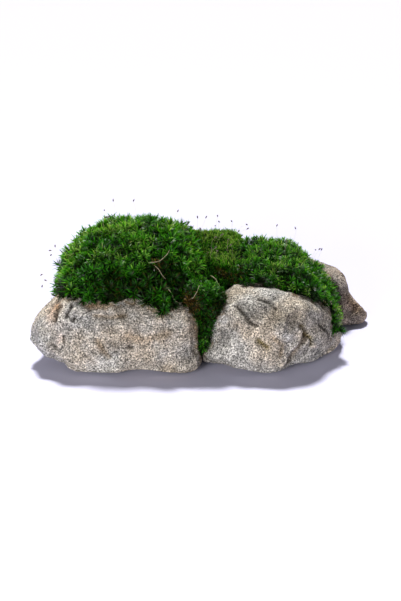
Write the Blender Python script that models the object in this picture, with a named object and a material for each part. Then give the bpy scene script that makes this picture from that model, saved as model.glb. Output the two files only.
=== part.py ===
"""Moss clump on three loose stones: stones worn from flat faces, and moss cushions grown against them.

Frame: +Z up, +X along the clump, -Y the front. The origin is the middle of the footprint, on the surface
that the stones rest on. Metres in the scene; the design tables below are in millimetres and degrees.
"""

import math

import bmesh
import bpy
import numpy as np
from mathutils import Vector, noise

MM = 0.001
GAP = 0.35 * MM  # left between a moss cushion and what it grows against
SUBDIVISIONS = 4  # of the icosphere that every piece starts as
SMALL_SUBDIVISIONS = 3
SINK = 2.5  # mm of a stone below the surface before its foot is cut flat there

STONE_COLOUR = (0.36, 0.34, 0.31, 1.0)
BROWN_STONE_COLOUR = (0.24, 0.21, 0.18, 1.0)
LONG_MOSS_COLOUR = (0.04, 0.12, 0.02, 1.0)
FINE_MOSS_COLOUR = (0.08, 0.16, 0.02, 1.0)

# Every piece is a block around its centre. "faces" are the flat faces that bound it, each as (azimuth from +X,
# elevation, distance from the centre). "wear" is how sharp the edges between them stay. "bumps" are knobs, or
# hollows where the height is negative, as (azimuth, elevation, height, angular radius). "lumpiness" is the
# size of the unevenness all over.
STONES = {
    "stone_front_left": {
        "centre": (-75, -26, 32),
        "wear": 13,
        "faces": [
            (-92, 18, 56),
            (-90, -42, 63),
            (-119, 4, 67),
            (180, 14, 62),
            (165, 20, 54),
            (180, 52, 46),
            (-175, -62, 44),
            (4, 4, 74),
            (0, 52, 68),
            (-90, 76, 35),
            (45, 8, 76),
            (90, 10, 66),
            (140, 8, 74),
            (90, 55, 52),
            (90, -50, 62),
            (0, -90, 32 + SINK),
        ],
        "bumps": [(-158, 2, 5, 14), (-156, -14, 5, 15), (-150, 24, -3, 9), (-52, 34, 5, 15), (-100, 8, 2, 14)],
        "lumpiness": 2.0,
        "material": "granite",
    },
    "stone_front_right": {
        "centre": (62, -40, 32),
        "wear": 13,
        "faces": [
            (-97, 13, 47),
            (-92, 47, 45),
            (-50, -9, 44),
            (-28, 24, 51),
            (-4, 4, 61),
            (0, 40, 50),
            (0, 68, 35),
            (180, 48, 47),
            (178, 12, 53),
            (-140, 2, 62),
            (0, 90, 36),
            (90, 10, 44),
            (90, -48, 50),
            (-110, -50, 52),
            (0, -90, 32 + SINK),
        ],
        "bumps": [(-128, -30, 3, 10), (-78, 38, -3, 14), (-42, 12, -2, 7)],
        "lumpiness": 2.0,
        "material": "granite",
    },
    "stone_back_right": {
        "centre": (100, 58, 22),
        "wear": 10,
        "faces": [
            (-82, 10, 37),
            (-42, 8, 44),
            (0, 8, 39),
            (0, 42, 51),
            (0, 74, 29),
            (-80, 62, 32),
            (40, 10, 45),
            (90, 12, 37),
            (150, 10, 46),
            (180, 12, 44),
            (0, -90, 22 + SINK),
        ],
        "bumps": [(-14, -17, 18, 18), (60, 50, 2, 20)],
        "lumpiness": 2.2,
        "material": "brown_stone",
    },
}

# Each piece is cut by those before it in these tables, so that the stones stand clear of each other and the
# cushions grow against the stones and against each other.
CUSHIONS = {
    "moss_cleft": {
        "centre": (8, -54, 48),
        "wear": 6,
        "faces": [
            (-90, 12, 20),
            (180, -8, 16),
            (0, -28, 14),
            (10, 20, 20),
            (0, 80, 26),
            (0, -90, 36),
            (90, 0, 16),
        ],
        "bumps": [],
        "lumpiness": 1.4,
        "material": "long_moss",
    },
    "moss_left": {
        "centre": (-60, -4, 62),
        "wear": 8,
        "faces": [
            (-90, 12, 60),
            (-90, 48, 58),
            (-140, 20, 72),
            (180, 6, 69),
            (-160, -22, 70),
            (180, 40, 55),
            (180, 70, 49),
            (0, 88, 53),
            (0, 70, 59),
            (0, 36, 74),
            (0, 4, 68),
            (-45, 20, 84),
            (90, 50, 60),
            (90, 6, 72),
            (40, 10, 76),
            (138, 12, 72),
            (0, -90, 56),
        ],
        "bumps": [(-65, -4, 22, 8)],
        "lumpiness": 3.0,
        "material": "long_moss",
    },
    "moss_middle": {
        "centre": (22, 18, 52),
        "wear": 7,
        "faces": [
            (-90, 18, 76),
            (-90, 54, 44),
            (-90, 82, 33),
            (0, 10, 27),
            (0, 60, 40),
            (180, 10, 50),
            (90, 50, 56),
            (90, 8, 66),
            (0, -90, 46),
        ],
        "bumps": [],
        "lumpiness": 1.6,
        "material": "fine_moss",
    },
    "moss_right": {
        "centre": (70, 0, 56),
        "wear": 8,
        "faces": [
            (-90, 14, 54),
            (-90, 50, 42),
            (-42, 16, 56),
            (0, -6, 63),
            (0, -48, 60),
            (0, 43, 30),
            (0, 82, 28),
            (180, 40, 42),
            (180, 4, 40),
            (90, 50, 50),
            (90, 8, 60),
            (0, -90, 38),
        ],
        "bumps": [(-75, 4, 4, 9), (-37, -26, 12, 11)],
        "lumpiness": 2.6,
        "material": "long_moss",
    },
}
SMALL_PIECES = ("moss_cleft", "moss_middle")
MATERIALS = {
    "granite": (STONE_COLOUR, 0.9),
    "brown_stone": (BROWN_STONE_COLOUR, 0.9),
    "long_moss": (LONG_MOSS_COLOUR, 0.7),
    "fine_moss": (FINE_MOSS_COLOUR, 0.8),
}


def clear_scene():
    for obj in list(bpy.data.objects):
        bpy.data.objects.remove(obj)


def make_collection(name):
    collection = bpy.data.collections.new(name)
    bpy.context.scene.collection.children.link(collection)
    return collection


def make_material(name, colour, roughness):
    material = bpy.data.materials.new(name)
    material.use_nodes = True
    shader = material.node_tree.nodes["Principled BSDF"]
    shader.inputs["Base Color"].default_value = colour
    shader.inputs["Roughness"].default_value = roughness
    return material


def make_object(name, mesh, collection):
    obj = bpy.data.objects.new(name, mesh)
    collection.objects.link(obj)
    return obj


def direction(azimuth, elevation):
    a = math.radians(azimuth)
    e = math.radians(elevation)
    return np.array((math.cos(a) * math.cos(e), math.sin(a) * math.cos(e), math.sin(e)))


def block_reach(towards, faces, wear):
    """How far the block reaches from its centre along a unit vector: its faces' planes, worn together."""
    total = 0.0
    for azimuth, elevation, distance in faces:
        cosine = float(towards @ direction(azimuth, elevation))
        if cosine > 0:
            total += (cosine / distance) ** wear
    return total ** (-1 / wear)


def bump_height(towards, bumps):
    total = 0.0
    for azimuth, elevation, height, radius in bumps:
        cosine = float(towards @ direction(azimuth, elevation))
        angle = math.degrees(math.acos(max(-1.0, min(1.0, cosine))))
        total += height * math.exp(-((angle / radius) ** 2))
    return total


def unevenness(point, size):
    """A smooth height that wanders from about -size to size over the piece, for a point in millimetres."""
    broad = noise.noise(Vector(point) / 38)
    narrow = noise.noise(Vector(point) / 15)
    return size * (1.2 * broad + 0.6 * narrow)


def block_mesh(name, design, subdivisions):
    """The icosphere pulled out or pushed in, along every vertex's own direction, to the design's block."""
    bm = bmesh.new()
    bmesh.ops.create_icosphere(bm, subdivisions=subdivisions, radius=1)
    centre = np.array(design["centre"], float)
    for vertex in bm.verts:
        towards = np.array(vertex.co.normalized())
        reach = block_reach(towards, design["faces"], design["wear"])
        reach += bump_height(towards, design["bumps"])
        point = centre + towards * reach
        point += towards * unevenness(point, design["lumpiness"])
        vertex.co = Vector(point) * MM
    mesh = bpy.data.meshes.new(name)
    bm.to_mesh(mesh)
    bm.free()
    return mesh


def cut_foot_flat(mesh):
    """Cuts a stone level at the surface that it rests on, and closes it with one flat face."""
    bm = bmesh.new()
    bm.from_mesh(mesh)
    geometry = bm.verts[:] + bm.edges[:] + bm.faces[:]
    bmesh.ops.bisect_plane(
        bm, geom=geometry, plane_co=(0, 0, 0), plane_no=(0, 0, 1), clear_inner=True
    )
    rim = [edge for edge in bm.edges if edge.is_boundary]
    bmesh.ops.contextual_create(bm, geom=rim)
    bmesh.ops.recalc_face_normals(bm, faces=bm.faces)
    bm.to_mesh(mesh)
    bm.free()


def evaluated_mesh(obj):
    bpy.context.view_layer.update()
    graph = bpy.context.evaluated_depsgraph_get()
    return bpy.data.meshes.new_from_object(obj.evaluated_get(graph))


def make_cutter(obj, collection):
    """A copy of a finished piece, grown by the gap, that cuts the pieces which lie against it."""
    mesh = obj.data.copy()
    normals = [vertex.normal.copy() for vertex in mesh.vertices]
    for vertex, normal in zip(mesh.vertices, normals):
        vertex.co += normal * GAP
    cutter = make_object(obj.name + "_cutter", mesh, collection)
    cutter.hide_render = True
    cutter.display_type = "WIRE"
    return cutter


def body_around(start):
    """Every vertex that can be reached from this one along edges."""
    body = {start}
    front = [start]
    while front:
        vertex = front.pop()
        for edge in vertex.link_edges:
            other = edge.other_vert(vertex)
            if other not in body:
                body.add(other)
                front.append(other)
    return body


def keep_largest_body(mesh):
    """Drops the crumbs that the cuts leave beside a piece's main body."""
    bm = bmesh.new()
    bm.from_mesh(mesh)
    bodies = []
    left = set(bm.verts)
    while left:
        body = body_around(next(iter(left)))
        left -= body
        bodies.append(body)
    largest = max(bodies, key=len)
    crumbs = [vertex for vertex in bm.verts if vertex not in largest]
    bmesh.ops.delete(bm, geom=crumbs, context="VERTS")
    bmesh.ops.triangulate(bm, faces=bm.faces)
    bm.to_mesh(mesh)
    bm.free()


def cut_by(obj, cutters):
    for cutter in cutters:
        cut = obj.modifiers.new("Cut " + cutter.name, "BOOLEAN")
        cut.operation = "DIFFERENCE"
        cut.object = cutter
    mesh = evaluated_mesh(obj)
    obj.modifiers.clear()
    keep_largest_body(mesh)
    obj.data = mesh


def centre_footprint(pieces):
    """Moves the whole clump so that the middle of its footprint is the origin."""
    for axis in range(2):
        values = [vertex.co[axis] for piece in pieces for vertex in piece.data.vertices]
        middle = (min(values) + max(values)) / 2
        for piece in pieces:
            piece.location[axis] = -middle


def main():
    clear_scene()
    clump = make_collection("moss_clump")
    cutter_collection = make_collection("cutters")
    materials = {name: make_material(name, *look) for name, look in MATERIALS.items()}
    pieces = []
    cutters = []
    for name, design in {**STONES, **CUSHIONS}.items():
        levels = SMALL_SUBDIVISIONS if name in SMALL_PIECES else SUBDIVISIONS
        piece = make_object(name, block_mesh(name, design, levels), clump)
        if name in STONES:
            cut_foot_flat(piece.data)
        cut_by(piece, cutters)
        piece.data.materials.clear()
        piece.data.materials.append(materials[design["material"]])
        pieces.append(piece)
        cutters.append(make_cutter(piece, cutter_collection))
    centre_footprint(pieces)


main()
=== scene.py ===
"""The looks of the moss clump: rough stones, and cushions of moss grown leaf by leaf on them.

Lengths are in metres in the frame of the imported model: +Z up, -Y the front, the stones' feet at z = 0.
"""

import math

import bmesh
import bpy
import numpy as np
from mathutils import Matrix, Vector, noise
from mathutils.bvhtree import BVHTree


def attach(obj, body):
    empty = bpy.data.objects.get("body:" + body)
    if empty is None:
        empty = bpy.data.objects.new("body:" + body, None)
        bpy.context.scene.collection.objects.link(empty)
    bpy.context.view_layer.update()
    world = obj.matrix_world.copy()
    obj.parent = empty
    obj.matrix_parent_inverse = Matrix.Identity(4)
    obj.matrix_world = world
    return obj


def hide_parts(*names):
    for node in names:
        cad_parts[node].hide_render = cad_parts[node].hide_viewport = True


MM = 0.001
MAP_NAME = "OFBake"  # each leaf's place on this map is (how far along the leaf, the leaf's tone)
GOLDEN_ANGLE = math.radians(137.5)

# ---------------------------------------------------------------- stones

STONE_VOXEL = 1.15 * MM

# What the weather and old breaks left on each stone: the look of the mark, the width it spreads over and how
# deep it is cut (negative for a rib), then the places it runs through. All in millimetres.
# The dark marks are cracks and clefts whose near-black colour is painted shade inside them.
STONE_MARKS = {
    "stone_front_left": [
        ("dark", 1.6, 3.4, [(-122, -69, 60), (-123, -71, 57), (-127, -77, 47)]),
        ("dark", 1.7, 3.2, [(-111, -72, 61), (-112, -74, 58), (-115, -80, 51)]),
        ("dark", 1.8, 3.0, [(-109, -81, 51), (-110, -81, 49)]),
        ("pale", 1.4, -1.2, [(-118, -71, 60), (-119, -75, 53), (-122, -79, 45)]),
        ("pale", 1.4, -1.4, [(-107, -76, 58), (-110, -81, 54), (-114, -84, 45)]),
        ("pink", 6.0, 0.4, [(-129, -60, 56), (-131, -72, 49)]),
        ("rust", 2.6, 0.0, [(-128, -62, 57), (-126, -66, 57)]),
        ("white", 2.6, 1.0, [(-120, -83, 35), (-123, -84, 29)]),
        ("dark", 1.1, 1.4, [(-118, -84, 35), (-118, -86, 30)]),
        ("dark", 1.5, 1.2, [(-127, -81, 27), (-125, -83, 25)]),
        ("cool", 15.0, 0.0, [(-142, -68, 30), (-120, -80, 18)]),
        ("brown", 3.0, 0.8, [(-89, -90, 33), (-86, -91, 27), (-80, -92, 20)]),
        ("dark", 1.6, 2.4, [(-63, -91, 28), (-60, -91, 27)]),
        ("brown", 5.0, 0.3, [(-62, -91, 38), (-48, -91, 34), (-30, -90, 40)]),
        ("rust", 4.0, 0.2, [(-96, -73, 60), (-79, -73, 60)]),
        ("brown", 2.2, 0.7, [(-92, -80, 53), (-78, -82, 52), (-66, -82, 54)]),
        # Partly paler stone, partly painted light: the low front band is brightened as if by light bounced up
        # from the floor.
        ("pale", 8.0, -0.4, [(-108, -86, 8), (-60, -92, 6), (-10, -90, 6)]),
        ("brown", 7.0, 0.4, [(-8, -83, 44), (-4, -78, 28), (-2, -74, 12)]),
    ],
    "stone_front_right": [
        ("grey", 10.0, 0.9, [(34, -80, 57), (50, -84, 55), (70, -84, 53), (84, -80, 48)]),
        ("dark", 1.5, 1.8, [(27, -76, 60), (32, -80, 55), (37, -85, 49), (44, -88, 46)]),
        ("pale", 4.0, -1.0, [(23, -77, 55), (33, -85, 48)]),
        ("dark", 1.2, 1.6, [(45, -73, 66), (55, -76, 62), (60, -80, 58)]),
        ("pale", 1.6, -0.9, [(48, -72, 67), (58, -75, 63), (64, -79, 59)]),
        ("olive", 2.1, 3.6, [(83, -83, 45), (86, -78, 36), (90, -73, 29), (91, -71, 22)]),
        ("pale", 1.9, -1.8, [(83, -82, 38), (80, -82, 30), (72, -87, 25), (70, -88, 18), (64, -91, 11)]),
        ("brown", 4.0, 1.8, [(87, -78, 30), (80, -82, 22), (73, -86, 12)]),
        ("white", 1.8, -1.6, [(93, -69, 20), (95, -67, 19)]),
        # Partly the stone's weathered grey, partly painted shade on the side that faces away from the front
        # fill light.
        ("grey", 15.0, 0.6, [(100, -64, 40), (104, -60, 26), (112, -44, 34)]),
        ("dark", 1.3, 1.2, [(99, -66, 38), (104, -58, 30), (106, -52, 20)]),
        ("olive", 2.3, 2.0, [(45, -92, 34), (48, -93, 32), (52, -92, 29)]),
        ("dark", 1.2, 3.0, [(3, -72, 11), (6, -73, 8), (9, -74, 4), (11, -75, 0)]),
        ("pale", 22.0, 0.0, [(20, -88, 26), (44, -92, 14)]),
        ("brown", 3.0, 0.8, [(58, -91, 36), (66, -90, 30), (64, -91, 22)]),
    ],
    "stone_back_right": [
        ("dark", 3.0, 1.6, [(120, 22, 46), (126, 27, 32), (124, 26, 16)]),
        ("pale", 3.0, -1.2, [(127, 24, 44), (133, 30, 32)]),
        ("brown", 6.0, 0.8, [(138, 34, 30), (140, 36, 14)]),
    ],
}
# Flat breaks: a point on each, the way it faces (azimuth, elevation) and how far around the point it reaches.
STONE_BREAKS = {
    "stone_front_left": [
        ((-136, -70, 50), (-146, 36), 15),
        ((-125, -80, 40), (-128, 10), 16),
        ((-118, -78, 52), (-140, 46), 12),
        ((-105, -84, 50), (-100, 34), 11),
        ((-140, -68, 30), (-158, 4), 16),
        ((-128, -80, 14), (-122, -34), 16),
        ((-88, -90, 36), (-93, 12), 24),
        ((-60, -90, 32), (-86, 4), 26),
        ((-36, -90, 42), (-84, 22), 20),
        ((-20, -88, 24), (-72, 4), 20),
        ((-70, -82, 56), (-92, 44), 18),
        ((-30, -82, 54), (-80, 40), 14),
        ((-95, -88, 12), (-96, -22), 20),
        ((-45, -92, 12), (-88, -14), 24),
        ((-8, -80, 30), (-38, 2), 14),
    ],
    "stone_front_right": [
        ((20, -84, 34), (-122, 16), 18),
        ((8, -74, 22), (-150, 6), 14),
        ((48, -91, 32), (-94, 12), 22),
        ((28, -80, 52), (-112, 40), 12),
        ((56, -84, 52), (-92, 36), 20),
        ((80, -82, 44), (-76, 26), 14),
        ((90, -74, 30), (-52, 2), 13),
        ((78, -83, 22), (-66, -12), 13),
        ((106, -56, 34), (-38, 8), 18),
        ((114, -38, 38), (-12, 18), 14),
        ((104, -54, 14), (-44, -28), 16),
        ((60, -90, 10), (-84, -26), 18),
        ((30, -90, 12), (-104, -20), 18),
        ((52, -74, 64), (-92, 60), 16),
    ],
    "stone_back_right": [
        ((136, 30, 30), (-52, 14), 16),
        ((120, 24, 36), (-84, 20), 16),
        ((140, 78, 22), (44, 4), 18),
        ((110, 90, 34), (92, 30), 20),
        ((80, 88, 22), (110, 4), 20),
    ],
}
# How far each stone's lowest edge hangs clear of the ground, in millimetres.
RIM_LIFTS = {"stone_front_left": 2.6, "stone_front_right": 4.2, "stone_back_right": 3.0}
RIM_SECTORS = 72  # that a stone's outline is measured in
RIM_WAVES = 5  # of the lift, once around a stone
# How strongly each look tints the stone, and with what colour.
STONE_TINTS = {
    # dark: painted shade inside cracks and clefts, near black.
    "dark": (0.95, (0.13, 0.12, 0.11)),
    "grey": (0.85, (0.53, 0.52, 0.49)),
    "cool": (0.70, (0.84, 0.89, 0.97)),
    "pale": (0.55, (1.22, 1.20, 1.16)),
    "white": (0.80, (1.75, 1.62, 1.62)),
    "pink": (0.85, (1.22, 1.00, 0.88)),
    "rust": (0.55, (1.10, 0.76, 0.44)),
    "olive": (0.90, (0.34, 0.29, 0.10)),
    "brown": (0.80, (0.60, 0.50, 0.38)),
}

# ---------------------------------------------------------------- moss

# inset is how far the bed lies under the leaf tips. leaf and width are a leaf's length and width, spread its
# angle from the stem at the foot of the rosette and at its top, and droop how far its tip bends over.
KINDS = {
    "long": {
        "inset": 7.0, "spacing": 4.7, "leaves": 28, "leaf": 6.6, "width": 1.0,
        "spread": (82, 16), "droop": 50, "reach": 0.66, "lean": 0.40, "ragged": 0.40, "sweep": 0.55,
        "mottle": (8, 0.30),
    },
    "medium": {
        "inset": 5.5, "spacing": 3.8, "leaves": 24, "leaf": 5.0, "width": 0.78,
        "spread": (80, 16), "droop": 46, "reach": 0.68, "lean": 0.42, "ragged": 0.40, "sweep": 0.60,
        "mottle": (7, 0.32),
    },
    "short": {
        "inset": 4.0, "spacing": 2.9, "leaves": 20, "leaf": 4.2, "width": 0.74,
        "spread": (84, 24), "droop": 44, "reach": 0.70, "lean": 0.42, "ragged": 0.36, "sweep": 0.50,
        "mottle": (5, 0.24),
    },
    "fine": {
        "inset": 3.2, "spacing": 1.55, "leaves": 7, "leaf": 3.5, "width": 0.60,
        "spread": (42, 8), "droop": 34, "reach": 0.80, "lean": 0.34, "ragged": 0.55, "sweep": 0.50,
        "mottle": (3.6, 0.34),
    },
}
CUSHIONS = {
    "moss_left": {"kind": "long", "lumps": (3.8, 25), "pieces": 2, "tone": 0.55},
    "moss_right": {"kind": "medium", "lumps": (3.0, 20), "pieces": 1, "tone": 0.56},
    "moss_cleft": {"kind": "short", "lumps": (1.6, 14), "pieces": 1, "tone": 0.40},
    "moss_middle": {"kind": "fine", "lumps": (3.4, 17), "pieces": 1, "tone": 0.75},
}
# Where a cushion's leaves differ from the rest of it: the tone there, the width of the patch and its path.
# Tones run from 0, dead brown, through dark green to 1, pale yellow-green.
MOSS_PATCHES = {
    "moss_left": [
        (0.16, 5.0, [(-95, -32, 103), (-97, -45, 98)]),
        (0.18, 5.0, [(-41, -59, 92), (-35, -61, 86)]),
        (0.12, 5.0, [(-10, 10, 92), (-4, 20, 88)]),
        (0.88, 9.0, [(-126, -20, 62), (-118, -20, 80), (-98, -6, 98), (-72, -20, 108)]),
        (0.84, 6.0, [(-4, 0, 98), (-26, -6, 108)]),
        (0.38, 12.0, [(-90, -66, 76), (-50, -68, 72), (-26, -64, 74)]),
    ],
    "moss_right": [
        (0.15, 5.0, [(70, -44, 74), (80, -44, 70), (90, -40, 66)]),
        (0.90, 5.0, [(113, -36, 40), (117, -37, 28)]),
        (0.80, 8.0, [(50, 0, 86), (80, 4, 84), (98, -20, 72)]),
        (0.20, 7.0, [(31, -36, 76), (32, -42, 70)]),
    ],
    "moss_cleft": [
        (0.05, 6.0, [(-13, -72, 67), (-9, -76, 59)]),
        (0.66, 5.0, [(2, -70, 73), (7, -74, 67)]),
        (0.70, 4.0, [(-1, -82, 33), (0, -80, 24)]),
    ],
    "moss_middle": [
        (0.16, 5.0, [(4, 8, 88), (12, 4, 87)]),
        (0.96, 3.2, [(37, 20, 86), (40, 0, 84), (41, -20, 80), (40, -40, 76)]),
        (0.88, 8.0, [(14, 42, 88), (30, 38, 85)]),
        (0.22, 9.0, [(12, -26, 74), (22, -36, 68)]),
    ],
}
BED_VOXEL = 2.5 * MM

# ---------------------------------------------------------------- view

VIEW_ELEVATION = 20.0
VIEW_DISTANCE = 1.25
VIEW_WIDTH = 0.358  # metres across the frame at the object
VIEW_TARGET = (-0.003, 0.0, 0.0364)


# ---------------------------------------------------------------- meshes in general


def add_object(name, mesh):
    obj = bpy.data.objects.new(name, mesh)
    bpy.context.scene.collection.objects.link(obj)
    return obj


def add_piece(name, mesh, material, node=None):
    """A piece of the object, which rides on its one body and may stand for a CAD node."""
    mesh.materials.clear()
    mesh.materials.append(material)
    piece = add_object(name, mesh)
    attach(piece, "root")
    if node:
        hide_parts(node)
    return piece


def places_of(mesh):
    places = np.empty(len(mesh.vertices) * 3, np.float32)
    mesh.vertices.foreach_get("co", places)
    return places.reshape(-1, 3).astype(float)


def normals_of(mesh):
    normals = np.empty(len(mesh.vertices) * 3, np.float32)
    mesh.vertices.foreach_get("normal", normals)
    return normals.reshape(-1, 3).astype(float)


def set_places(mesh, places):
    mesh.vertices.foreach_set("co", places.astype(np.float32).ravel())
    mesh.update()


def set_colours(mesh, name, colours):
    attribute = mesh.color_attributes.new(name, "FLOAT_COLOR", "POINT")
    with_alpha = np.column_stack((colours, np.ones(len(colours))))
    attribute.data.foreach_set("color", with_alpha.astype(np.float32).ravel())


def remeshed(node, voxel, smoothing):
    """A copy of a CAD node's mesh in even small quads, with the CAD facets smoothed away."""
    copy = add_object(node.name + "_copy", node.data.copy())
    remesh = copy.modifiers.new("Even quads", "REMESH")
    remesh.mode = "VOXEL"
    remesh.voxel_size = voxel
    smooth = copy.modifiers.new("Smooth facets", "SMOOTH")
    smooth.iterations = smoothing
    graph = bpy.context.evaluated_depsgraph_get()
    mesh = bpy.data.meshes.new_from_object(copy.evaluated_get(graph))
    bpy.data.objects.remove(copy)
    mesh.shade_smooth()
    return mesh


def unit(vectors):
    return vectors / np.maximum(np.linalg.norm(vectors, axis=-1, keepdims=True), 1e-9)


def wander(places, size, seed=0.0):
    """Smooth noise between about -1 and 1 at each place, whose features are size metres across."""
    shift = Vector((seed, 2.3 * seed, 5.1 * seed))
    return np.array([noise.noise(Vector(p) / size + shift) for p in places])


def rough(places, size, seed=0.0, octaves=4):
    shift = Vector((seed, 2.3 * seed, 5.1 * seed))
    return np.array([noise.fractal(Vector(p) / size + shift, 0.9, 2.1, octaves) for p in places])


def smoothstep(values, low, high):
    t = np.clip((values - low) / (high - low), 0, 1)
    return t * t * (3 - 2 * t)


def tree_of(nodes):
    """One search tree over the surfaces of these CAD nodes."""
    corners = []
    faces = []
    for node in nodes:
        start = len(corners)
        corners += [vertex.co.copy() for vertex in node.data.vertices]
        faces += [[start + i for i in polygon.vertices] for polygon in node.data.polygons]
    return BVHTree.FromPolygons(corners, faces)


def distances_to(tree, places):
    return np.array([tree.find_nearest(Vector(p))[3] for p in places])


# ---------------------------------------------------------------- stones


def distance_to_path(places, path):
    """Each place's distance to the nearest point of a path of straight stretches, given in millimetres."""
    best = np.full(len(places), np.inf)
    corners = np.array(path, float) * MM
    for start, end in zip(corners[:-1], corners[1:]):
        along = end - start
        share = np.clip((places - start) @ along / (along @ along), 0, 1)
        nearest = start + share[:, None] * along
        best = np.minimum(best, np.linalg.norm(places - nearest, axis=1))
    return best


def laid_on(places, path):
    """The path in short steps, each moved to the nearest of these places of a surface; in millimetres."""
    corners = np.array(path, float)
    laid = []
    for start, end in zip(corners[:-1], corners[1:]):
        steps = max(2, int(np.linalg.norm(end - start) / 3))
        for share in np.arange(steps) / steps:
            laid.append(start + share * (end - start))
    laid.append(corners[-1])
    nearest = [places[np.argmin(((places - p * MM) ** 2).sum(1))] / MM for p in laid]
    return [p for i, p in enumerate(nearest) if i == 0 or np.linalg.norm(p - nearest[i - 1]) > 0.5]


def chiselled(places, spacing, bowl, tilt, rng):
    """Height of a surface of shallow tilted flats, about spacing apart, that meet in raised edges."""
    start = rng.choice(len(places), min(len(places), 20000), replace=False)
    centres = places[start][spaced_apart(places[start], spacing)]
    tilts = rng.normal(0, tilt, centres.shape)
    curve = bowl / (spacing / 2) ** 2
    slopes = tilts - 2 * curve * centres
    base = curve * (centres**2).sum(1) - (centres * tilts).sum(1) + rng.normal(0, 0.4 * bowl, len(centres))
    heights = np.empty(len(places))
    for part in np.array_split(np.arange(len(places)), 40):
        here = places[part]
        heights[part] = (curve * (here**2).sum(1)[:, None] + here @ slopes.T + base).min(1)
    return heights - heights.mean()


def marked(places, marks, ragged):
    """The depth that the marks cut at each place, and the colour that they tint it."""
    depth = np.zeros(len(places))
    tint = np.ones((len(places), 3))
    for look, width, cut, path in marks:
        reach = width * MM * (1 + 0.4 * np.clip(ragged, -1, 1))
        near = np.exp(-((distance_to_path(places, laid_on(places, path)) / reach) ** 2))
        depth += cut * MM * near
        strength, colour = STONE_TINTS[look]
        share = (strength * near)[:, None]
        tint *= 1 - share + share * np.array(colour)
    return depth, tint


def broken_flat(places, breaks, ragged):
    """The places with whatever stands out past each break's plane pressed back to it."""
    places = places.copy()
    for point, (azimuth, elevation), reach in breaks:
        a, e = math.radians(azimuth), math.radians(elevation)
        facing = np.array((math.cos(a) * math.cos(e), math.sin(a) * math.cos(e), math.sin(e)))
        middle = laid_on(places, [point, point])[0] * MM
        around = np.linalg.norm(places - middle, axis=1) / (reach * MM)
        past = (places - middle) @ facing
        level = np.median(past[around < 0.9]) + 0.25 * MM * ragged
        share = 1 - smoothstep(around + 0.15 * ragged, 0.75, 1.1)
        places -= (np.maximum(past - level, 0) * share)[:, None] * facing
    return places


def rim_lift(places, lift, rng):
    """How far each place near the ground rises, so that a stone stands on its middle, clear of its rim."""
    foot = places[places[:, 2] < 0.5 * MM]
    middle = foot[:, :2].mean(0)
    across = places[:, :2] - middle
    turn = (np.arctan2(across[:, 1], across[:, 0]) + math.pi) / (2 * math.pi)
    bins = (turn * RIM_SECTORS).astype(int) % RIM_SECTORS
    reach = np.linalg.norm(across, axis=1)
    low = places[:, 2] < 4 * MM
    widest = np.array([reach[low & (bins == i)].max(initial=1 * MM) for i in range(RIM_SECTORS)])
    waves = np.arange(RIM_SECTORS) * 2 * math.pi * RIM_WAVES / RIM_SECTORS
    ripple = 1 + 0.5 * np.sin(waves + rng.uniform(0, 6))
    out = smoothstep(reach / widest[bins], 0.55, 0.95)
    return lift * MM * ripple[bins] * out * np.clip(1 - places[:, 2] / (12 * MM), 0, 1)


def make_stone(name, node, material, moss_tree, seed):
    rng = np.random.default_rng(seed)
    mesh = remeshed(node, STONE_VOXEL, 14)
    places = places_of(mesh)
    ragged = rough(places, 4 * MM, seed + 2, 3)
    places = broken_flat(places, STONE_BREAKS[name], ragged)
    set_places(mesh, places)
    normals = normals_of(mesh)
    broad = chiselled(places, 22 * MM, 0.7 * MM, 0.07, rng)
    chips = chiselled(places, 8 * MM, 0.16 * MM, 0.06, rng)
    flakes = chiselled(places, 3.6 * MM, 0.07 * MM, 0.07, rng)
    grain = 0.16 * MM * (wander(places, 2.1 * MM, seed) + rng.normal(0, 0.35, len(places)))
    swell = 0.5 * MM * rough(places, 16 * MM, seed)
    pits = smoothstep(wander(places, 3.0 * MM, seed + 5), 0.42, 0.62)
    depth, tint = marked(places, STONE_MARKS[name], ragged)
    fine = chips + flakes + grain - 0.5 * MM * pits
    height = broad + swell + fine - depth
    foot = smoothstep(places[:, 2], 1.5 * MM, 5 * MM)
    moved = places + normals * (height * (0.15 + 0.85 * foot))[:, None]
    moved[:, 2] = np.maximum(moved[:, 2] + rim_lift(places, RIM_LIFTS[name], rng), 0)
    set_places(mesh, moved)
    tint *= (1 + 0.5 * np.clip(fine / MM, -1, 0.6))[:, None]
    damp = 1 - smoothstep(distances_to(moss_tree, places), 0.5 * MM, 7 * MM)
    soil = (0.75 * damp * smoothstep(ragged, -0.3, 0.5))[:, None]
    tint *= 1 - soil + soil * np.array((0.50, 0.36, 0.19))
    # Painted shade: each stone's colour darkens to 0.15 of itself in its lowest 3.5 mm, standing in for the
    # dark contact shadow where it meets the floor.
    tint *= (0.15 + 0.85 * smoothstep(moved[:, 2], 0.4 * MM, 3.5 * MM))[:, None]
    set_colours(mesh, "tint", tint)
    return add_piece(name + "_rock", mesh, material, name)


# ---------------------------------------------------------------- moss


def cushion_surface(node, tree, lumps):
    """The cushion's lumpy outside, and how open each vertex is: 0 against a neighbour, 1 away from it."""
    mesh = remeshed(node, BED_VOXEL, 6)
    height, size = lumps
    places = places_of(mesh)
    normals = normals_of(mesh)
    away = distances_to(tree, places)
    openness = smoothstep(away, 0.6 * MM, 6.5 * MM)
    broad = wander(places, size * MM, 3.7)
    narrow = wander(places, 0.45 * size * MM, 8.1)
    bulge = height * MM * (1.1 * broad + 0.5 * narrow)
    moved = places + normals * (bulge * openness)[:, None]
    moved[:, 2] = np.maximum(moved[:, 2], 0.5 * MM)
    set_places(mesh, moved)
    return mesh, openness


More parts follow.
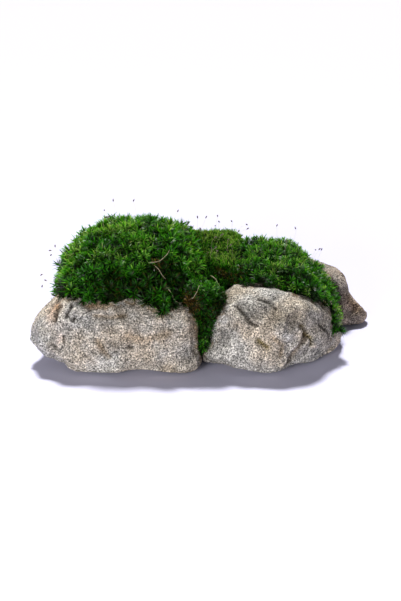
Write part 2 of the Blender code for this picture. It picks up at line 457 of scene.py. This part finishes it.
def scattered(mesh, openness, spacing, rng):
    """Places on the mesh at least spacing apart, with the surface's direction and openness there."""
    mesh.calc_loop_triangles()
    places = places_of(mesh)
    normals = normals_of(mesh)
    corners = np.array([triangle.vertices for triangle in mesh.loop_triangles])
    edges = places[corners[:, 1:]] - places[corners[:, :1]]
    areas = np.linalg.norm(np.cross(edges[:, 0], edges[:, 1]), axis=1) / 2
    tries = int(6 * areas.sum() / spacing**2)
    chosen = rng.choice(len(areas), tries, p=areas / areas.sum())
    shares = rng.dirichlet((1, 1, 1), tries)
    points = (places[corners[chosen]] * shares[:, :, None]).sum(1)
    kept = spaced_apart(points, spacing)
    shares = shares[kept]
    corners = corners[chosen[kept]]
    directions = unit((normals[corners] * shares[:, :, None]).sum(1))
    open_there = (openness[corners] * shares).sum(1)
    return points[kept], directions, open_there


def spaced_apart(points, spacing):
    """Which points to keep so that no two are nearer than spacing, found with a grid of cells that wide."""
    cells = {}
    kept = []
    steps = (-1, 0, 1)
    around = [(a, b, c) for a in steps for b in steps for c in steps]
    for i, point in enumerate(points):
        x, y, z = cell = tuple(int(math.floor(value / spacing)) for value in point)
        near = [j for a, b, c in around for j in cells.get((x + a, y + b, z + c), ())]
        if near and (((points[near] - point) ** 2).sum(1) < spacing**2).any():
            continue
        cells.setdefault(cell, []).append(i)
        kept.append(i)
    return np.array(kept)


LEAF_STATIONS = np.array((0.0, 0.34, 0.70, 1.0))
LEAF_WIDTHS = np.array((0.62, 1.0, 0.66, 0.0))
LEAF_CORNERS = np.array((0, 1, 3, 2, 2, 3, 5, 4, 4, 5, 6))
LEAF_FACE_STARTS = np.array((0, 4, 8))
LEAF_POINTS = 7


def leaf_blades(feet, stems, outward, spread, droop, length, width):
    """Seven points for each leaf: two at its foot, two pairs along it and its tip. It bends over outward."""
    side = unit(np.cross(stems, outward))
    middle = [feet]
    here = feet
    for before, after in zip(LEAF_STATIONS[:-1], LEAF_STATIONS[1:]):
        angle = (spread + droop * (before + after) / 2)[:, None]
        heading = np.cos(angle) * stems + np.sin(angle) * outward
        here = here + heading * (length * (after - before))[:, None]
        middle.append(here)
    half = side * (width / 2)[:, None]
    points = []
    for centre, share in zip(middle[:-1], LEAF_WIDTHS[:-1]):
        points += [centre - half * share, centre + half * share]
    points.append(middle[-1])
    return np.stack(points, axis=1)


def leaf_places_on_map(start, end, tone):
    """Where a leaf's seven points lie on the map: from start to end, at its tone, with some width."""
    along = start[:, None] + (end - start)[:, None] * LEAF_STATIONS
    u = np.repeat(along, 2, axis=1)[:, :LEAF_POINTS]
    v = tone[:, None] + 0.004 * np.array((-1, 1, -1, 1, -1, 1, 0))
    return np.stack((u, v), axis=2).clip(0.004, 0.996)


def leaf_mesh(name, points, on_map):
    """One mesh of many leaves, from each leaf's seven points and their places on the map."""
    count = len(points)
    loops = (np.arange(count)[:, None] * LEAF_POINTS + LEAF_CORNERS).ravel()
    starts = (np.arange(count)[:, None] * len(LEAF_CORNERS) + LEAF_FACE_STARTS).ravel()
    mesh = bpy.data.meshes.new(name)
    mesh.vertices.add(count * LEAF_POINTS)
    mesh.vertices.foreach_set("co", points.astype(np.float32).ravel())
    mesh.loops.add(len(loops))
    mesh.loops.foreach_set("vertex_index", loops.astype(np.int32))
    mesh.polygons.add(len(starts))
    mesh.polygons.foreach_set("loop_start", starts.astype(np.int32))
    mesh.update(calc_edges=True)
    layer = mesh.uv_layers.new(name=MAP_NAME, do_init=False)
    layer.uv.foreach_set("vector", on_map.reshape(-1, 2)[loops].astype(np.float32).ravel())
    mesh.shade_smooth()
    return mesh


def shoot_leaves(roots, stems, sweeps, heights, size, tones, kind, rng):
    """The leaves of every shoot, in a spiral that opens from an upright tip to a spread foot."""
    count = kind["leaves"]
    shoots = len(roots)
    order = (np.arange(count) + 0.5) / count
    turn = np.arange(count) * GOLDEN_ANGLE
    level = np.tile(order, shoots)
    angle = np.repeat(rng.uniform(0, 2 * math.pi, shoots), count) + np.tile(turn, shoots)
    angle += rng.normal(0, 0.25, len(angle))
    stem = np.repeat(stems, count, axis=0)
    across = unit(np.cross(stem, (0.31, 0.67, 0.12)))
    other = np.cross(stem, across)
    outward = np.cos(angle)[:, None] * across + np.sin(angle)[:, None] * other
    combed = np.repeat(sweeps, count, axis=0)
    combed = combed - (combed * stem).sum(1, keepdims=True) * stem
    outward = unit(outward + combed)
    wide, narrow = np.radians(kind["spread"])
    spread = wide + (narrow - wide) * level**0.8 + rng.normal(0, 0.16, len(level))
    droop = np.radians(kind["droop"]) * rng.uniform(0.5, 1.4, len(level))
    big = np.repeat(size, count)
    length = kind["leaf"] * MM * big * (0.72 + 0.5 * np.sin(math.pi * (0.2 + 0.6 * level)))
    length *= rng.uniform(0.82, 1.15, len(level))
    width = kind["width"] * MM * big * rng.uniform(0.85, 1.15, len(level))
    low = 1 - kind["reach"]
    rise = np.repeat(heights, count) * (low + kind["reach"] * level)
    feet = np.repeat(roots, count, axis=0) + stem * rise[:, None]
    points = leaf_blades(feet, stem, outward, spread, droop, length, width)
    tone = np.repeat(tones, count) + rng.normal(0, 0.10, len(level))
    # Lower leaves take a darker stretch of the map: partly older leaves, partly painted shade deep in the
    # rosette.
    old = (1 - level) ** 1.5
    start = 0.16 * level
    end = 0.50 + 0.46 * level - 0.1 * old
    return points, leaf_places_on_map(start, end, tone.clip(0.02, 0.98))


def patched(tones, points, patches):
    """Tones brought towards those of the patches that the points lie in."""
    ragged = wander(points, 5 * MM, 4.4)
    for tone, width, path in patches:
        reach = width * MM * (1 + 0.5 * ragged)
        near = np.exp(-((distance_to_path(points, path) / reach) ** 2))
        tones = tones + near * (tone - tones)
    return tones


def grow_cushion(name, node, tree, materials, seed):
    """Replaces a CAD cushion by a dark bed and the leafy shoots that stand on it."""
    design = CUSHIONS[name]
    kind = KINDS[design["kind"]]
    rng = np.random.default_rng(seed)
    surface, openness = cushion_surface(node, tree, design["lumps"])
    points, directions, open_there = scattered(surface, openness, kind["spacing"] * MM, rng)
    keep = open_there > 0.01
    points, directions, open_there = points[keep], directions[keep], open_there[keep]

    depth = kind["inset"] * MM * (0.25 + 0.75 * open_there)
    roots = points - directions * depth[:, None]
    stems = directions + 0.30 * np.array((0, 0, 1)) + rng.normal(0, kind["lean"], points.shape)
    stems -= np.outer(1 - open_there, (0, 0, 0.75))
    stems = unit(stems)
    size = (0.88 + 0.12 * open_there) * rng.uniform(0.72, 1.25, len(points))
    tufts = wander(points, 2.2 * kind["spacing"] * MM, 7.7)
    heights = depth * (0.92 + kind["ragged"] * tufts + rng.uniform(-0.5, 0.5, len(points)) * kind["ragged"])
    size_of_mottle, mottle = kind["mottle"]
    tones = design["tone"] + 0.16 * wander(points, 24 * MM, 1.9)
    tones += mottle * wander(points, size_of_mottle * MM, 6.4)
    # Painted light and shade: shoots that face up get a brighter tone and those that face down a darker one,
    # as for a top-lit cushion with a shaded underside.
    tones += 0.34 * (smoothstep(directions[:, 2], -0.6, 0.9) - 0.55) + rng.normal(0, 0.07, len(points))
    tones = tones.clip(0.33, 0.96)
    tones = patched(tones, points, MOSS_PATCHES[name])
    winds = [wander(points, 12 * MM, seed) for seed in (2.2, 5.9, 9.3)]
    sweeps = kind["sweep"] * 1.6 * np.column_stack(winds)
    blades, on_map = shoot_leaves(roots, stems, sweeps, heights, size, tones, kind, rng)
    blades[:, :, 2] = np.maximum(blades[:, :, 2], 0.2 * MM)

    batches = np.array_split(np.arange(len(points)), design["pieces"])
    leaves = np.arange(len(blades)).reshape(len(points), -1)
    for number, batch in enumerate(batches, 1):
        part = leaves[batch].ravel()
        mesh = leaf_mesh(name, blades[part], on_map[part])
        add_piece(f"{name}_leaves_{number}", mesh, materials["leaves"], name)

    inset = (kind["inset"] * MM) * (0.08 + 0.92 * openness)
    set_places(surface, places_of(surface) - normals_of(surface) * inset[:, None])
    add_piece(name + "_bed", surface, materials["bed"], name)
    return points, directions, open_there


# ---------------------------------------------------------------- stalks, capsules and dry stems

HIGHEST_TIP = 120.5 * MM
POD_LENGTH = 2.7 * MM
POD_RADII = (0.18, 0.42, 0.58, 0.62, 0.52, 0.32, 0.10)
CAPSULES = {"moss_left": 20, "moss_middle": 20, "moss_right": 7}
DRY_STEMS = [
    [(-29, -44, 102), (-28, -50, 102), (-31, -56, 98), (-37, -62, 94), (-44, -63, 93), (-47, -60, 92)],
    [(-42, -60, 90), (-38, -65, 88), (-35, -67, 83), (-32, -65, 79)],
    [(-31, -68, 73), (-27, -72, 69), (-25, -73, 63), (-20, -70, 59)],
    [(-13, -74, 64), (-9, -78, 67), (-6, -77, 72), (-4, -72, 76)],
    [(6, -41, 74), (10, -46, 73), (13, -50, 68), (17, -49, 63)],
]


def tube(bm, path, radii, sides=5):
    """A round tube through these points, closed at both ends by its last rings' points."""
    rings = []
    for i, (centre, radius) in enumerate(zip(path, radii)):
        ahead = (path[min(i + 1, len(path) - 1)] - path[max(i - 1, 0)]).normalized()
        across = ahead.cross(Vector((0.3, 0.5, 0.8))).normalized()
        other = ahead.cross(across)
        angles = [2 * math.pi * k / sides for k in range(sides)]
        around = [math.cos(a) * across + math.sin(a) * other for a in angles]
        rings.append([bm.verts.new(centre + radius * outward) for outward in around])
    for low, high in zip(rings[:-1], rings[1:]):
        for k in range(sides):
            bm.faces.new((low[k], low[(k + 1) % sides], high[(k + 1) % sides], high[k]))
    bm.faces.new(reversed(rings[0]))
    bm.faces.new(rings[-1])


def curved(start, end, bend, count=8):
    """Points from start to end along an arc that bows out by the vector bend."""
    shares = [i / (count - 1) for i in range(count)]
    return [start.lerp(end, t) + bend * (4 * t * (1 - t)) for t in shares]


def grow_capsules(sites, materials):
    """Thin stalks over the cushions, each with a nodding spore capsule."""
    rng = np.random.default_rng(40)
    stalks = bmesh.new()
    capsules = bmesh.new()
    for name, count in CAPSULES.items():
        points, directions, open_there = sites[name]
        out = directions[:, 2] + 0.6 * np.maximum(-directions[:, 0], 0) * (name == "moss_left")
        behind = points[:, 1] > -22 * MM
        chances = np.where((out > 0.45) & (open_there > 0.8) & behind, 1.0, 0)
        chosen = rng.choice(len(points), count, replace=False, p=chances / chances.sum())
        for i in chosen:
            foot = Vector(points[i] - 3 * MM * directions[i])
            lean = Vector(directions[i]) + Vector(rng.normal(0, 0.25, 3)) + Vector((0, 0, 0.3))
            tip = foot + lean.normalized() * rng.uniform(13, 20) * MM
            tip.z = min(tip.z, HIGHEST_TIP)
            bend = Vector(rng.normal(0, 1.2, 3)) * MM
            stalk = curved(foot, tip, bend)
            tube(stalks, stalk, [0.06 * MM] * len(stalk), 4)
            ahead = (stalk[-1] - stalk[-2]).normalized()
            nod = (ahead + Vector(rng.normal(0, 0.6, 3))).normalized()
            pod = curved(tip, tip + nod * POD_LENGTH, nod.cross(ahead) * 0.4 * MM, len(POD_RADII))
            tube(capsules, pod, [radius * MM for radius in POD_RADII], 7)
    add_made("capsule_stalks", stalks, materials["stalk"])
    add_made("spore_capsules", capsules, materials["capsule"])


def lay_dry_stems(materials):
    stems = bmesh.new()
    for path in DRY_STEMS:
        corners = [Vector(p) * MM for p in path]
        points = []
        for before, after in zip(corners[:-1], corners[1:]):
            points += [before.lerp(after, t) for t in (0, 0.33, 0.67)]
        points.append(corners[-1])
        smooth = [points[0]]
        smooth += [(a + 2 * b + c) / 4 for a, b, c in zip(points[:-2], points[1:-1], points[2:])]
        smooth.append(points[-1])
        count = len(smooth)
        tube(stems, smooth, [(0.19 - 0.11 * i / count) * MM for i in range(count)], 6)
    add_made("dry_stems", stems, materials["dry_stem"])


def add_made(name, bm, material):
    mesh = bpy.data.meshes.new(name)
    bm.to_mesh(mesh)
    bm.free()
    mesh.shade_smooth()
    return add_piece(name, mesh, material)


# ---------------------------------------------------------------- materials


class Nodes:
    """A material's node tree, with short ways to add nodes and link them."""

    def __init__(self, name):
        self.material = bpy.data.materials.new(name)
        self.material.use_nodes = True
        self.tree = self.material.node_tree
        self.shader = self.tree.nodes["Principled BSDF"]

    def add(self, kind, inputs=None, **settings):
        node = self.tree.nodes.new(kind)
        for key, value in settings.items():
            setattr(node, key, value)
        for key, value in (inputs or {}).items():
            if isinstance(value, bpy.types.NodeSocket):
                self.tree.links.new(value, node.inputs[key])
            else:
                node.inputs[key].default_value = value
        return node

    def link(self, output, socket):
        self.tree.links.new(output, self.shader.inputs[socket])

    def places(self):
        return self.add("ShaderNodeTexCoord").outputs["Object"]

    def attribute(self, name):
        return self.add("ShaderNodeAttribute", attribute_name=name).outputs["Color"]

    def noise(self, per_metre, detail=3.0, roughness=0.55, distortion=0.0, where=None):
        inputs = {
            "Vector": where or self.places(),
            "Scale": per_metre,
            "Detail": detail,
            "Roughness": roughness,
            "Distortion": distortion,
        }
        return self.add("ShaderNodeTexNoise", inputs).outputs["Fac"]

    def ramp(self, value, stops):
        node = self.add("ShaderNodeValToRGB", {"Fac": value})
        elements = node.color_ramp.elements
        while len(elements) < len(stops):
            elements.new(0.5)
        for element, (position, colour) in zip(elements, stops):
            element.position = position
            element.color = (*colour, 1.0)
        return node.outputs["Color"]

    def mix(self, share, a, b, blend="MIX"):
        node = self.add("ShaderNodeMix", data_type="RGBA", blend_type=blend)
        for socket, value in ((0, share), (6, a), (7, b)):
            if isinstance(value, bpy.types.NodeSocket):
                self.tree.links.new(value, node.inputs[socket])
            elif socket:
                node.inputs[socket].default_value = (*value, 1.0)
            else:
                node.inputs[socket].default_value = value
        return node.outputs[2]

    def maths(self, operation, a, b=0.0, clamp=False):
        node = self.add("ShaderNodeMath", operation=operation, use_clamp=clamp)
        for socket, value in enumerate((a, b)):
            if isinstance(value, bpy.types.NodeSocket):
                self.tree.links.new(value, node.inputs[socket])
            else:
                node.inputs[socket].default_value = value
        return node.outputs[0]


def grey(value):
    return (value, value, value)


def stone_material(name, warm, cool):
    """Warm and cool patches, mottles, light and dark grains, all tinted by the stone's own marks and by the
    painted shade in its cracks, on its right side and at its foot, and painted floor light low on its front.
    """
    nodes = Nodes(name)
    colour = nodes.ramp(nodes.noise(30, 4), [(0.38, warm), (0.62, cool)])
    mottle = nodes.noise(300, 3, 0.65)
    clouds = nodes.ramp(mottle, [(0.34, grey(0.58)), (0.5, grey(1.0)), (0.66, grey(1.22))])
    colour = nodes.mix(0.8, colour, clouds, "MULTIPLY")
    grains = nodes.noise(760, 2, 0.75)
    light = [(0.36, grey(0.12)), (0.46, grey(0.72)), (0.54, grey(1.05)), (0.63, grey(2.1))]
    colour = nodes.mix(1.0, colour, nodes.ramp(grains, light), "MULTIPLY")
    colour = nodes.mix(1.0, colour, nodes.attribute("tint"), "MULTIPLY")
    nodes.link(colour, "Base Color")
    nodes.shader.inputs["Roughness"].default_value = 0.92
    nodes.shader.inputs["Specular IOR Level"].default_value = 0.2
    relief = nodes.maths("ADD", nodes.maths("MULTIPLY", grains, 0.5), nodes.maths("MULTIPLY", mottle, 0.9))
    bump = nodes.add("ShaderNodeBump", {"Strength": 0.9, "Distance": 0.0014, "Height": relief})
    nodes.link(bump.outputs["Normal"], "Normal")
    return nodes.material


def leaf_material():
    """Leaf colour from the map: near black at the foot as painted shade among the leaves, bright at the tip,
    and brown to yellow-green by tone.
    """
    nodes = Nodes("moss_leaf")
    on_map = nodes.add("ShaderNodeUVMap", uv_map=MAP_NAME).outputs["UV"]
    split = nodes.add("ShaderNodeSeparateXYZ", {"Vector": on_map})
    along, tone = split.outputs["X"], split.outputs["Y"]
    tip = nodes.ramp(tone, [
        (0.02, (0.110, 0.048, 0.012)),
        (0.13, (0.300, 0.190, 0.036)),
        (0.24, (0.085, 0.105, 0.010)),
        (0.36, (0.014, 0.105, 0.003)),
        (0.50, (0.034, 0.260, 0.004)),
        (0.64, (0.082, 0.510, 0.010)),
        (0.80, (0.240, 0.800, 0.030)),
        (0.97, (0.640, 0.970, 0.200)),
    ])
    # Painted shade: the leaf feet are near black, standing in for the shade deep among the leaves.
    foot = nodes.ramp(tone, [
        (0.10, (0.014, 0.008, 0.002)),
        (0.40, (0.0008, 0.008, 0.0003)),
        (0.90, (0.006, 0.030, 0.001)),
    ])
    foot_shade_to_tip = nodes.ramp(along, [(0.22, grey(0)), (0.58, grey(0.34)), (0.90, grey(1))])
    colour = nodes.mix(foot_shade_to_tip, foot, tip)
    nodes.link(colour, "Base Color")
    nodes.shader.inputs["Roughness"].default_value = 0.36
    nodes.shader.inputs["Specular IOR Level"].default_value = 0.2
    through = nodes.mix(1.0, colour, (1.0, 1.0, 0.55), "MULTIPLY")
    behind = nodes.add("ShaderNodeBsdfTranslucent", {"Color": through})
    both = nodes.add("ShaderNodeMixShader", {0: 0.46, 1: nodes.shader.outputs[0], 2: behind.outputs[0]})
    output = nodes.tree.nodes["Material Output"]
    nodes.tree.links.new(both.outputs[0], output.inputs["Surface"])
    return nodes.material


def bed_material():
    """The litter of old leaves and stems under the shoots, coloured near black as painted shade deep in the
    cushion.
    """
    nodes = Nodes("moss_bed")
    colour = nodes.ramp(nodes.noise(420, 4, 0.7), [
        (0.35, (0.002, 0.004, 0.001)),
        (0.52, (0.005, 0.012, 0.002)),
        (0.68, (0.026, 0.020, 0.006)),
    ])
    nodes.link(colour, "Base Color")
    nodes.shader.inputs["Roughness"].default_value = 0.95
    nodes.shader.inputs["Specular IOR Level"].default_value = 0.1
    relief = nodes.noise(380, 4, 0.7)
    bump = nodes.add("ShaderNodeBump", {"Strength": 1.0, "Distance": 0.002, "Height": relief})
    nodes.link(bump.outputs["Normal"], "Normal")
    return nodes.material


def litter_material(name, dark, light, roughness):
    """Dry plant matter, streaked between two colours."""
    nodes = Nodes(name)
    nodes.link(nodes.ramp(nodes.noise(700, 3, 0.6), [(0.35, dark), (0.65, light)]), "Base Color")
    nodes.shader.inputs["Roughness"].default_value = roughness
    nodes.shader.inputs["Specular IOR Level"].default_value = 0.3
    bump = nodes.add("ShaderNodeBump", {"Strength": 0.5, "Distance": 0.0002, "Height": nodes.noise(2500, 2)})
    nodes.link(bump.outputs["Normal"], "Normal")
    return nodes.material


# ---------------------------------------------------------------- stage


def make_floor():
    mesh = bpy.data.meshes.new("floor")
    bm = bmesh.new()
    bmesh.ops.create_grid(bm, x_segments=1, y_segments=1, size=40)
    bm.to_mesh(mesh)
    bm.free()
    nodes = Nodes("floor_paper")
    nodes.shader.inputs["Base Color"].default_value = (0.65, 0.638, 0.785, 1)
    nodes.shader.inputs["Roughness"].default_value = 1.0
    nodes.shader.inputs["Specular IOR Level"].default_value = 0.0
    mesh.materials.append(nodes.material)
    add_object("floor", mesh)


def add_light(name, kind, place, power, **settings):
    """A soft light at this place, facing the object."""
    data = bpy.data.lights.new(name, kind)
    data.energy = power
    for key, value in settings.items():
        setattr(data, key, value)
    light = add_object(name, data)
    light.location = place
    light.rotation_euler = (Vector((0, 0, 0.04)) - Vector(place)).to_track_quat("-Z", "Y").to_euler()


def light_scene():
    world = bpy.data.worlds.new("studio")
    world.use_nodes = True
    tree = world.node_tree
    place = tree.nodes.new("ShaderNodeTexCoord")
    split = tree.nodes.new("ShaderNodeSeparateXYZ")
    fade = tree.nodes.new("ShaderNodeValToRGB")
    fade.color_ramp.elements[0].position = 0.17
    fade.color_ramp.elements[0].color = (1.0, 1.0, 1.0, 1)
    fade.color_ramp.elements[1].position = 0.34
    fade.color_ramp.elements[1].color = (0.09, 0.09, 0.10, 1)
    tree.links.new(place.outputs["Generated"], split.inputs[0])
    tree.links.new(split.outputs["Z"], fade.inputs["Fac"])
    tree.links.new(fade.outputs["Color"], tree.nodes["Background"].inputs["Color"])
    bpy.context.scene.world = world
    add_light("key", "SUN", (-0.12, 0.95, 1.70), 5.0, angle=math.radians(9))
    add_light("front_fill", "AREA", (-0.80, -1.85, 0.44), 30, size=0.7)


def place_camera():
    data = bpy.data.cameras.new("camera")
    data.sensor_fit = "HORIZONTAL"
    data.sensor_width = 36
    data.lens = 36 * VIEW_DISTANCE / VIEW_WIDTH
    camera = add_object("camera", data)
    tilt = math.radians(VIEW_ELEVATION)
    back = Vector((0, -math.cos(tilt), math.sin(tilt)))
    camera.location = Vector(VIEW_TARGET) + back * VIEW_DISTANCE
    camera.rotation_euler = (-back).to_track_quat("-Z", "Y").to_euler()
    bpy.context.scene.camera = camera


def main():
    nodes = frame["nodes"]
    moss = [nodes[name] for name in CUSHIONS]
    materials = {
        "leaves": leaf_material(),
        "bed": bed_material(),
        "stalk": litter_material("stalk", (0.46, 0.38, 0.22), (0.66, 0.58, 0.40), 0.5),
        "capsule": litter_material("capsule", (0.085, 0.055, 0.050), (0.17, 0.125, 0.115), 0.5),
        "dry_stem": litter_material("dry_stem", (0.38, 0.29, 0.16), (0.70, 0.62, 0.44), 0.6),
        "granite": stone_material("granite", (0.375, 0.32, 0.25), (0.36, 0.345, 0.315)),
        "brown_stone": stone_material("brown_stone", (0.30, 0.235, 0.18), (0.28, 0.25, 0.215)),
    }
    for seed, name in enumerate(STONE_MARKS):
        look = "brown_stone" if name == "stone_back_right" else "granite"
        make_stone(name, nodes[name], materials[look], tree_of(moss), 11 + 4 * seed)
    sites = {}
    for seed, name in enumerate(CUSHIONS):
        others = [node for other, node in nodes.items() if other != name]
        sites[name] = grow_cushion(name, nodes[name], tree_of(others), materials, seed)
    grow_capsules(sites, materials)
    lay_dry_stems(materials)
    make_floor()
    light_scene()
    place_camera()
    bpy.context.scene.view_settings.view_transform = "Standard"


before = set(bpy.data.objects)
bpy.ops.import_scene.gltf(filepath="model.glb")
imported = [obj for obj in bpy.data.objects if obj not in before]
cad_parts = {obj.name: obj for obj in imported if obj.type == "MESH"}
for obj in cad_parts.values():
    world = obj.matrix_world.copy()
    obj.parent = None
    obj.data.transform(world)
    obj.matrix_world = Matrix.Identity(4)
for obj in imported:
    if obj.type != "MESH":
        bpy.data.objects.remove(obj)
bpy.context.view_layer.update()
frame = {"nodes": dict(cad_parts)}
main()
